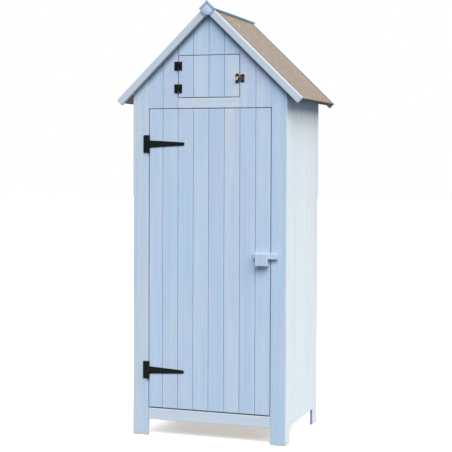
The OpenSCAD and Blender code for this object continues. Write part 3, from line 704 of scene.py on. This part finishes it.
def makeWalls(rows):
    for index, (node, (across, outward, square)) in enumerate(rows.items()):
        addBoards(Build(seed=11 + index), node, across, outward, up, deckLine, square=square)


makeWalls(wallRows)
print("walls built")


def plainOutline(*spans, ease=0.0014, wear=1.0):
    # an eased rectangle over two spans
    (left, side), (front, rear) = spans
    return easedOutline([(left, front), (side, front), (side, rear), (left, rear)], ease, wear=wear)


# Timbers and the way that the length of each runs
alongAxes = {"up": (right, back, up), "right": (back, up, right), "back": (right, up, back)}
timbers = {
    "front_bottom_rail": "right",
    "hatch_sill_rail": "right",
    "corner_posts": "up",
    "hatch_frame": "up",
    "door_stop": "up",
    "door_header": "right",
    "side_wall_battens": "back",
    "back_wall_battens": "right",
    "floor_bearers": "back",
    "floor_boards": "right",
    "shelf_uprights": "up",
    "shelf_cleats": "back",
    "lower_shelf": "right",
    "middle_shelf": "right",
    "upper_shelf": "right",
    "door_ledges": "right",
    "hatch_battens": "right",
}


def makeTimbers(values):
    # upright pieces end under the rafters, and a short wide one among them lies level
    for index, (node, way) in enumerate(values.items()):
        build = Build(seed=120 + index)
        for solid in solidsOf(node):
            level = way == "up" and np.ptp(solid[:, 0]) > np.ptp(solid[:, 2])
            axes = alongAxes["right" if level else way]
            first, second, (bottom, top) = (spanOf(solid, axis) for axis in axes)
            end = underLine(rafterLine, top, axes) if axes[2] is up else top
            build.sweep(plainOutline(first, second), axes, bottom, end, ease=0.0014)
        build.finish(node)


makeTimbers(timbers)
print("timbers built")


# Bargeboards, ridge and roof boards
def makeRoofTrim():
    for index, (side, (down, inward)) in enumerate(slopeAxes.items()):
        for end in ("front", "back"):
            # a bargeboard is cut plumb at the ridge, so its end moves with its depth
            node = f"{end}_{side}_bargeboard"
            build = Build(seed=70 + index + 2 * (end == "back"))
            solid = solidsOf(node)[0] - ridge
            (shallow, deep), (front, rear) = spanOf(solid, inward), spanOf(solid, back)
            # painted shadow: where a back bargeboard stands above the felt, its top front edge takes
            # the near-black joint colour
            wear = [1.0 if end == "front" else -1.0, 1.0, 1.0, 1.0]
            outline = plainOutline((shallow, deep), (front, rear), ease=0.0016, wear=wear)
            build.sweep(outline, [inward, back, down], lambda flat: np.maximum(flat[:, 0] * fall, 0),
                        spanOf(solid, down)[1], ridge, ease=0.0014)
            build.finish(node)
        node = f"{side}_ridge_cap"
        build = Build(seed=80 + index)
        solid = solidsOf(node)[0] - ridge
        thickness, width = spanOf(solid, -inward)[1], spanOf(solid, down)[1]
        front, rear = spanOf(solid, back)
        corners = [(0, 0), (width, 0), (width, thickness), (-thickness * fall, thickness)]
        outline = easedOutline(corners, 0.0014, wear=[1.0, -1.0, 0.6, 1.0])
        build.sweep(outline, [down, -inward, back], front, rear, ridge, ease=0.0012)
        build.finish(node)
        node = f"{side}_roof_boards"
        low = spanOf(solidsOf(node, down)[1] - ridge, inward)[1] * fall + ridge @ down
        addBoards(Build(seed=90 + index), node, down, inward, back, firstLow=low)


makeRoofTrim()
print("roof trim built")


felt = {"thickness": 0.0035, "fold": 0.003, "step": 0.02, "wave": 0.0004}


def makeFelt(values):
    # the slope's outline with the fold at its foot, cut into short steps; the sheet is set
    # in by the wave's height times 1 plus a product of two sines
    for index, (side, (down, inward)) in enumerate(slopeAxes.items()):
        node = f"{side}_roof_felt"
        solid = solidsOf(node)[0] - ridge
        (top, deep), (front, rear) = spanOf(solid, inward), spanOf(solid, back)
        length, under = spanOf(solid, down)[1], top + values["thickness"]
        inner = length - values["thickness"]
        corners = [(top * fall, top), (length, top), (length, deep), (inner, deep), (inner, under),
                   (under * fall, under)]
        outline = easedOutline(corners, [0.0003, values["fold"], 0.0006, 0.0006, 0.001, 0.0003])
        flat, worn, reach = splitLong(*outline, values["step"])
        count = int((rear - front) / values["step"])
        y = np.linspace(front, rear, count)
        ring = np.broadcast_to(flat, (count, *flat.shape))
        wave = (np.sin(31 * ring[:, :, 0] + 17 * y[:, None] + index)
                * np.sin(23 * y[:, None] + 9 * ring[:, :, 0] + 2 * index))
        depth = ring[:, :, 1] + values["wave"] * (1 + wave) * (ring[:, :, 1] < under + 1e-6)
        local = np.stack([ring[:, :, 0], depth, y[:, None] + 0 * depth], 2).reshape(-1, 3)
        axes = np.array([down, inward, back])
        mirrored = signedArea(flat) * np.linalg.det(axes) < 0
        cut = (ring[:, :, 1] > top + 0.001).astype(float)
        cut[[0, -1]] = 1
        build = Build(seed=100 + index)
        build.add(local @ axes + ridge, shellFaces(count, len(flat), mirrored), edge=cut.ravel())
        build.finish(node)


def splitLong(flat, worn, reach, step):
    # puts points along every stretch of an outline that is longer than the step
    following = np.roll(flat, -1, 0)
    counts = np.maximum(1, (np.linalg.norm(following - flat, axis=1) / step).astype(int))
    start = np.repeat(np.arange(len(flat)), counts)
    share = np.concatenate([np.arange(count) / count for count in counts])
    return [(values[start].T + (np.roll(values, -1, 0) - values)[start].T * share).T
            for values in (flat, worn, reach)]


makeFelt(felt)


def makeApexPlates():
    # the clipped outline in X and Z, with its face eased
    for index, node in enumerate(("front_apex_plate", "back_apex_plate")):
        low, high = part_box(node)
        front = frontOf(solidsOf(node)[0])
        angle = np.arctan2(front[:, 2] - (low.z + high.z) / 2, front[:, 0])
        outline = easedOutline(front[np.argsort(angle)][:, [0, 2]], 0.0012)
        build = Build(seed=110 + index)
        build.sweep(outline, [right, up, back], low.y, high.y, ease=0.001, lengthAxis=0)
        build.finish(node)


makeApexPlates()
print("felt and apex plates built")


# Loft boards and rafters
def steppedEdge(low, high, base, notches):
    # points along a board's edge, set in by each notch that lies on it
    points, reached = [], low
    for first, last, depth in sorted(notches):
        first, last = max(first, low), min(last, high)
        if last > first:
            points += [(reached, base), (first, base)] * (first > reached)
            points += [(first, depth), (last, depth)]
            reached = last
    return points + [(reached, base), (high, base)] * (reached < high)


def makeLoft(clearance=0.0003):
    # the loft's boards are cut round the posts that pass through them
    build = Build(seed=145)
    posts = solidsOf("corner_posts") + [solid for solid in solidsOf("hatch_frame")
                                        if np.ptp(solid[:, 2]) > np.ptp(solid[:, 0])]
    front, rear = [], []
    for post in posts:
        (low, high), (near, far) = spanOf(post, right), spanOf(post, back)
        side, depth = (front, far + clearance) if near < 0 else (rear, near - clearance)
        side.append((low - clearance, high + clearance, depth))
    for solid in solidsOf("loft_boards"):
        (low, high), (near, far), (bottom, top) = (spanOf(solid, axis) for axis in np.eye(3))
        corners = steppedEdge(low, high, near, front) + steppedEdge(low, high, far, rear)[::-1]
        build.sweep(easedOutline(corners, 0.001), np.eye(3), bottom, top, lengthAxis=1)
    build.finish("loft_boards")


def makeRafters():
    # each rafter's upper end is cut plumb at the ridge and its lower end plumb at the wall
    build = Build(seed=146)
    for solid in solidsOf("rafters", back):
        down, inward = slopeAxes["right" if solid[:, 0].mean() > 0 else "left"]
        (shallow, deep), (front, rear) = spanOf(solid - ridge, inward), spanOf(solid, back)
        inner, outer = (reach * stretch for reach in spanOf(np.abs(solid), right))
        build.sweep(plainOutline((shallow, deep), (front, rear)), [inward, back, down],
                    lambda flat: flat[:, 0] * fall + inner,
                    lambda flat: flat[:, 0] * fall + outer, ridge)
    build.finish("rafters")


makeLoft()
makeRafters()
print("loft and rafters built")


# Door and hatch
def makeBraces():
    # each brace is a bar along its slant, both of whose ends are cut level
    build = Build(seed=160)
    for solid in solidsOf("door_braces", up):
        face, (bottom, top) = frontOf(solid), spanOf(solid, up)
        lower, upper = (face[np.abs(face[:, 2] - level) < 1e-5][:, 0] for level in (bottom, top))
        run = np.array([upper.min() - lower.min(), 0, top - bottom])
        length = np.linalg.norm(run)
        along = run / length
        across, slant = np.array([along[2], 0, -along[0]]), along[0] / along[2]
        outline = plainOutline((0, np.ptp(lower) * along[2]), spanOf(solid, back))
        build.sweep(outline, [across, back, along], lambda flat: flat[:, 0] * slant,
                    lambda flat: length + flat[:, 0] * slant, (lower.min(), 0, bottom))
    build.finish("door_braces")


addBoards(Build(seed=150), "door_boards", right, -back, up)
addBoards(Build(seed=170), "hatch_boards", right, -back, up)
makeBraces()


barLatch = {"gap": 0.0015, "ease": 0.0016}


def makeBarLatch(values):
    # the catch is a face on a foot, with a ledge behind it that the bar rests on
    catchLow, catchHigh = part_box("latch_catch")
    barLow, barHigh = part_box("latch_bar")
    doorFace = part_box("door_boards")[0].y
    pivot = (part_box("latch_dowel")[0].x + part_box("latch_dowel")[1].x) / 2
    half, gap, ease = (barHigh.z - barLow.z) / 2, values["gap"], values["ease"]
    faceBack = barLow.y - gap
    footTop = barLow.z + half - math.hypot(pivot - barLow.x, half) - gap
    build = Build(seed=180)
    corners = [(catchLow.y, catchLow.z), (doorFace, catchLow.z), (doorFace, footTop),
               (faceBack, footTop), (faceBack, catchHigh.z), (catchLow.y, catchHigh.z)]
    outline = easedOutline(corners, [ease, 0.0005, 0.0005, 0.0005, ease, ease])
    build.sweep(outline, [back, up, right], catchLow.x, catchHigh.x, lengthAxis=1)
    ledge = plainOutline((faceBack, doorFace), (footTop, barLow.z - gap / 4), ease=0.0004)
    build.sweep(ledge, [back, up, right], pivot + half + 2 * gap, catchHigh.x)
    build.finish("latch_catch")
    build = Build(seed=181)
    outline = plainOutline((barLow.y, barHigh.y), (barLow.z, barHigh.z), ease=ease)
    build.sweep(outline, [back, up, right], barLow.x, barHigh.x)
    build.finish("latch_bar")


makeBarLatch(barLatch)
print("door, hatch and bar latch built")


# Metal
screw = {
    "radius": 0.0038,
    "height": 0.0018,
    "shank": 0.0018,
    "depth": 0.004,
    "recess": 0.0010,
    # half the length and half the width of each slot
    "arm": 0.0024,
    "half": 0.00045,
}


def crossRecess(values):
    # the head drops in two crossed slots, by recess times 1 - r / (1.6 arm)
    def drop(flat):
        x, y = np.abs(flat[:, :, 0]), np.abs(flat[:, :, 1])
        inSlot = (np.minimum(x, y) < values["half"]) & (np.maximum(x, y) < values["arm"])
        return -values["recess"] * inSlot * (1 - np.hypot(x, y) / (values["arm"] * 1.6))
    return drop


def addScrew(build, place, values=screw):
    # a round head, height times the square root of 1 - (r / R)^2, over a short shank
    share = np.concatenate([np.linspace(0.02, 0.72, 15), [0.80, 0.88, 0.94, 0.985]])
    dome = [(values["radius"] * s, values["height"] * math.sqrt(1 - s * s)) for s in share]
    shank = [(values["shank"], 0.0), (values["shank"], -values["depth"])]
    profile = dome + [(values["radius"], 0.0)] + shank
    build.lathe(profile[::-1], [right, up, -back], place, count=40, height=crossRecess(values))


def makeScrews():
    for index, node in enumerate(("cabinet_screws", "door_screws", "hatch_screws")):
        build = Build(seed=190 + index)
        for solid in solidsOf(node):
            centre = centreOf(solid)
            addScrew(build, (centre[0], solid[:, 1].min() + screw["height"], centre[2]))
        build.finish(node)


makeScrews()


# Hinges: the leaf's thickness, the moving knuckle's length, the pin's bore, the gap beside the
# knuckle, the rounding of the outer and inner corners and of the faces, and the worn strip
doorHinge = {"leaf": 0.0025, "knuckle": 0.030, "bore": 0.0026, "gap": 0.0005, "corner": 0.003,
             "inner": 0.0004, "face": 0.0007, "band": 0.003, "strapTip": 0.0135, "strapFace": 0.0008}
hatchHinge = {"leaf": 0.0016, "knuckle": 0.014, "bore": 0.0016, "gap": 0.0005, "corner": 0.0015,
              "inner": 0.0003, "face": 0.0005, "band": 0.0015}


def addCurl(build, pin, radius, bore, sign, low, high, count=26):
    # the leaf's rolled end: an arc round the pin and back inside it, seen along the pin
    arc = arcPoints(90, 385, count) * [sign, 1]
    worn = np.zeros(2 * count)
    worn[[0, count - 1, count, -1]] = 1
    outline = np.concatenate([radius * arc, bore * arc[::-1]]), worn, np.full(2 * count, 0.0004)
    build.sweep(outline, [right, back, up], low, high, (*pin[:2], 0), ease=0.0003)


def addPlate(build, outline, front, rear, ease):
    # an outline in X and Z carried from the front face back
    build.sweep(outline, [right, up, back], front, rear, ease=ease)


def addFixedHalf(build, plate, pin, wall, values):
    # a plate notched for the moving knuckle, with its own above and below; gives the
    # knuckles' radius, from the pin's middle to the plate's front
    left, (bottom, top) = plate[:, 0].min(), spanOf(plate, up)
    radius = pin[1] - plate[:, 1].min()
    notch = pin[0] - radius - values["gap"]
    below, above = (pin[2] + sign * (values["knuckle"] / 2 + values["gap"]) for sign in (-1, 1))
    corners = [(left, bottom), (pin[0], bottom), (pin[0], below), (notch, below), (notch, above),
               (pin[0], above), (pin[0], top), (left, top)]
    ease = [values["corner"], *[values["inner"]] * 6, values["corner"]]
    outline = easedOutline(corners, ease, band=values["band"])
    addPlate(build, outline, wall - values["leaf"], wall, values["face"])
    for low, high in ((bottom, below), (above, top)):
        addCurl(build, pin, radius, values["bore"], -1, low, high)
    return radius


def makeDoorHinges(values):
    # the strap tapers from its knuckle's length to a round tip
    face, half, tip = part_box("door_boards")[0].y, values["knuckle"] / 2, values["strapTip"] / 2
    nose = tip * arcPoints(-80, 80, 13)
    for level, solid in zip(("lower", "upper"), solidsOf("door_hinge_pins", up)):
        pin, plate, strap = centreOf(solid), f"{level}_hinge_plate", f"{level}_hinge_strap"
        build = Build(seed=200)
        radius = addFixedHalf(build, solidsOf(plate)[0], pin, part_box(plate)[1].y, values)
        build.finish(plate)
        build = Build(seed=210)
        end = (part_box(strap)[1].x - tip, pin[2])
        root = [(pin[0], pin[2] + half), (pin[0], pin[2] - half)]
        radii = [values["inner"]] * len(nose) + [0.0006] * 2
        outline = easedOutline(np.concatenate([end + nose, root]), radii)
        addPlate(build, outline, face - values["leaf"], face, values["strapFace"])
        addCurl(build, pin, radius, values["bore"], 1, pin[2] - half, pin[2] + half)
        build.finish(strap)


def makePins(node):
    # straight pins with a domed head at each end
    build = Build(seed=220)
    for solid in solidsOf(node, up):
        radius, half = np.ptp(solid[:, 0]) / 2, np.ptp(solid[:, 2]) / 2
        dome = arcPoints(0, 83.08, 7) * [radius * 1.25, radius * 0.4] + [0, half]
        shaft = [(radius, -half + 0.0002), (radius, half - 0.0002)]
        profile = np.concatenate([dome[::-1] * [1, -1], shaft, dome])
        build.lathe(profile, [right, back, up], centreOf(solid), count=24)
    build.finish(node)


def makeHatchHinges(values):
    # the leaf is a plate cut back from the fixed knuckles, with a neck to its own
    parts = [solidsOf(f"hatch_hinge_{name}", up) for name in ("plates", "leaves", "pins")]
    wall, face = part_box("hatch_hinge_plates")[1].y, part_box("hatch_boards")[0].y
    still, moving = Build(seed=230), Build(seed=231)
    for plate, leaf, solid in zip(*parts):
        pin = centreOf(solid)
        radius = addFixedHalf(still, plate, pin, wall, values)
        (bottom, top), side = spanOf(plate, up), leaf[:, 0].max()
        low, high = (pin[2] + sign * values["knuckle"] / 2 for sign in (-1, 1))
        inner = pin[0] + radius + values["gap"]
        corners = [(inner, bottom), (side, bottom), (side, top), (inner, top), (inner, high),
                   (pin[0], high), (pin[0], low), (inner, low)]
        ease = [values["inner"], values["corner"], values["corner"], *[values["inner"]] * 5]
        outline = easedOutline(corners, ease, band=values["band"])
        addPlate(moving, outline, face - values["leaf"], face, values["face"])
        addCurl(moving, pin, radius, values["bore"], 1, low, high)
    still.finish("hatch_hinge_plates")
    moving.finish("hatch_hinge_leaves")


makeDoorHinges(doorHinge)
makeHatchHinges(hatchHinge)
makePins("door_hinge_pins")
makePins("hatch_hinge_pins")
print("hinges built")


hatchLatch = {
    "waist": 0.55,
    "lobePoints": 41,
    "ease": 0.0005, "armEase": 0.0009, "armSwell": 0.0016,
    "neck": 0.0035,
    # the neck's share of the knob's height
    "neckShare": 0.42,
}


def lobedOutline(low, high, values):
    # three lobes: half the width is the waist's share of it plus the rest times
    # |cos(3 pi t / 2)| up to two thirds of the way from the middle, and a circle beyond
    t = np.sin(np.linspace(-0.5, 0.5, values["lobePoints"]) * np.pi)
    share = np.abs(t)
    lobes = values["waist"] + (1 - values["waist"]) * np.abs(np.cos(1.5 * np.pi * t))
    ends = np.sqrt(np.maximum(1 - (3 * np.maximum(share, 2 / 3) - 2) ** 2, 0.0004))
    half = (high.x - low.x) / 2 * np.where(share < 2 / 3, lobes, ends)
    middle = (low + high) / 2
    x = middle.x + np.concatenate([half, -half[::-1]])
    z = middle.z + np.concatenate([t, t[::-1]]) * (high.z - low.z) / 2
    points = np.stack([x, z], 1)
    return points, np.zeros(len(points)), np.full(len(points), values["ease"])


def makeHatchLatch(values):
    for index, node in enumerate(("hatch_latch_plate", "hatch_strike_plate")):
        low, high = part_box(node)
        build = Build(seed=240 + index)
        addPlate(build, lobedOutline(low, high, values), low.y, high.y, values["ease"])
        build.finish(node)
    # the arm's half width swells by a sine squared along it, and its end is an arc
    solid = solidsOf("hatch_turn_knob")[0]
    low, high = solid.min(0), solid.max(0)
    radius = (high[2] - low[2]) / 2
    x, z = low[0] + radius, (low[2] + high[2]) / 2
    arm = solid[solid[:, 0] > x + radius * 1.5]
    (front, rear), half = spanOf(arm, back), spanOf(arm, up)[1] - z
    u = np.linspace(0, 1, 15)
    swell = values["armSwell"] * np.sin(np.pi * u) ** 2
    upper = np.stack([x + u * (high[0] - x - half), z + half + swell], 1)
    nose = (high[0] - half, z) + half * arcPoints(70, -70, 9)
    lower = upper[::-1] * [1, -1] + [0, 2 * z]
    build = Build(seed=250)
    outline = easedOutline(np.concatenate([upper, nose, lower]), 0.0003, band=0.0008)
    addPlate(build, outline, front, rear, values["armEase"])
    # the knob is turned: a spindle behind, a neck, and a ball that is drawn in at its foot
    spindle = np.ptp(solid[solid[:, 1] > rear + 0.001][:, 0]) / 2
    height = rear - low[1]
    foot, rise = height * values["neckShare"], height * (1 - values["neckShare"])
    turn = np.linspace(-0.5, 1.5, 12)
    around = np.where(turn > 0, np.cos(turn), 1 - turn ** 2 * 0.6) * radius
    along = foot + rise * (0.5 + 0.5 * np.sin(turn)) / (0.5 + 0.5 * math.sin(1.5))
    profile = [(spindle, rear - high[1]), (spindle, 0.0), (values["neck"], 0.0), (values["neck"], foot)]
    profile += zip(around, along)
    build.lathe(profile, [right, up, -back], (x, rear, z), count=40, worn=1.0)
    build.finish("hatch_turn_knob")


makeHatchLatch(hatchLatch)


def makeDowel(count=32):
    # a circle carried along the peg, whose ends are eased
    low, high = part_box("latch_dowel")
    radius = (high.x - low.x) / 2
    circle = radius * arcPoints(0, 360 - 360 / count, count)
    middle = ((low.x + high.x) / 2, 0, (low.z + high.z) / 2)
    build = Build(seed=260)
    build.sweep((circle, np.zeros(count), np.full(count, radius / 3)), [right, up, back], low.y, high.y,
                middle, ease=0.0006)
    build.finish("latch_dowel")


makeDowel()
print("latches built")


# Floor, light and world
studio = {
    "floorSide": 60.0,
    "floorColour": (0.88, 0.88, 0.88),
    "floorGlow": 0.42,
    # the white that the camera sees, and the dimmer light that reaches the object
    "backdrop": (1.0, 1.0, 1.0),
    "fill": (0.24, 0.275, 0.32),
    # the way to each lamp, its colour, its strength, and its width in degrees
    "lamps": {
        "sun": ((4.6, -0.8, 4.7), (0.93, 0.785, 0.59), 5.2, 52.0),
        "front": ((0.25, -1.0, 1.22), (0.95, 0.915, 0.88), 3.68, 42.0),
        "rear": ((-1.6, 2.4, 1.5), (0.95, 0.97, 1.0), 2.6, 40.0),
    },
}


def makeStudio(values):
    side = values["floorSide"] / 2
    mesh = bpy.data.meshes.new("floor")
    corners = [(-side, -side, 0), (side, -side, 0), (side, side, 0), (-side, side, 0)]
    mesh.from_pydata(corners, [], [(0, 1, 2, 3)])
    shade = Shade("paleFloor")
    mesh.materials.append(shade.finish(Base_Color=values["floorColour"], Roughness=0.9,
                                       Emission_Color=values["backdrop"],
                                       Emission_Strength=values["floorGlow"]))
    floor = addObject("floor", mesh)
    # the floor is lit through, so its shadows are pale, but it doesn't light the object
    floor.visible_diffuse = False
    for name, (toward, colour, strength, width) in values["lamps"].items():
        light = bpy.data.lights.new(name, "SUN")
        light.angle = math.radians(width)
        light.energy = strength
        light.color = colour
        lamp = addObject(name, light)
        lamp.location = toward
        lamp.rotation_euler = Vector(toward).to_track_quat("Z", "Y").to_euler()
    sky = Shade("studio", bpy.data.worlds)
    seen = sky.node("LightPath", output="Is Camera Ray")
    colour = sky.mix(seen, values["fill"], values["backdrop"])
    background = sky.node("Background", None, {"Color": colour})
    sky.node("OutputWorld", None, {"Surface": background})
    bpy.context.scene.world = sky.owner
    bpy.context.scene.view_settings.view_transform = "Standard"


makeStudio(studio)
print("studio set")
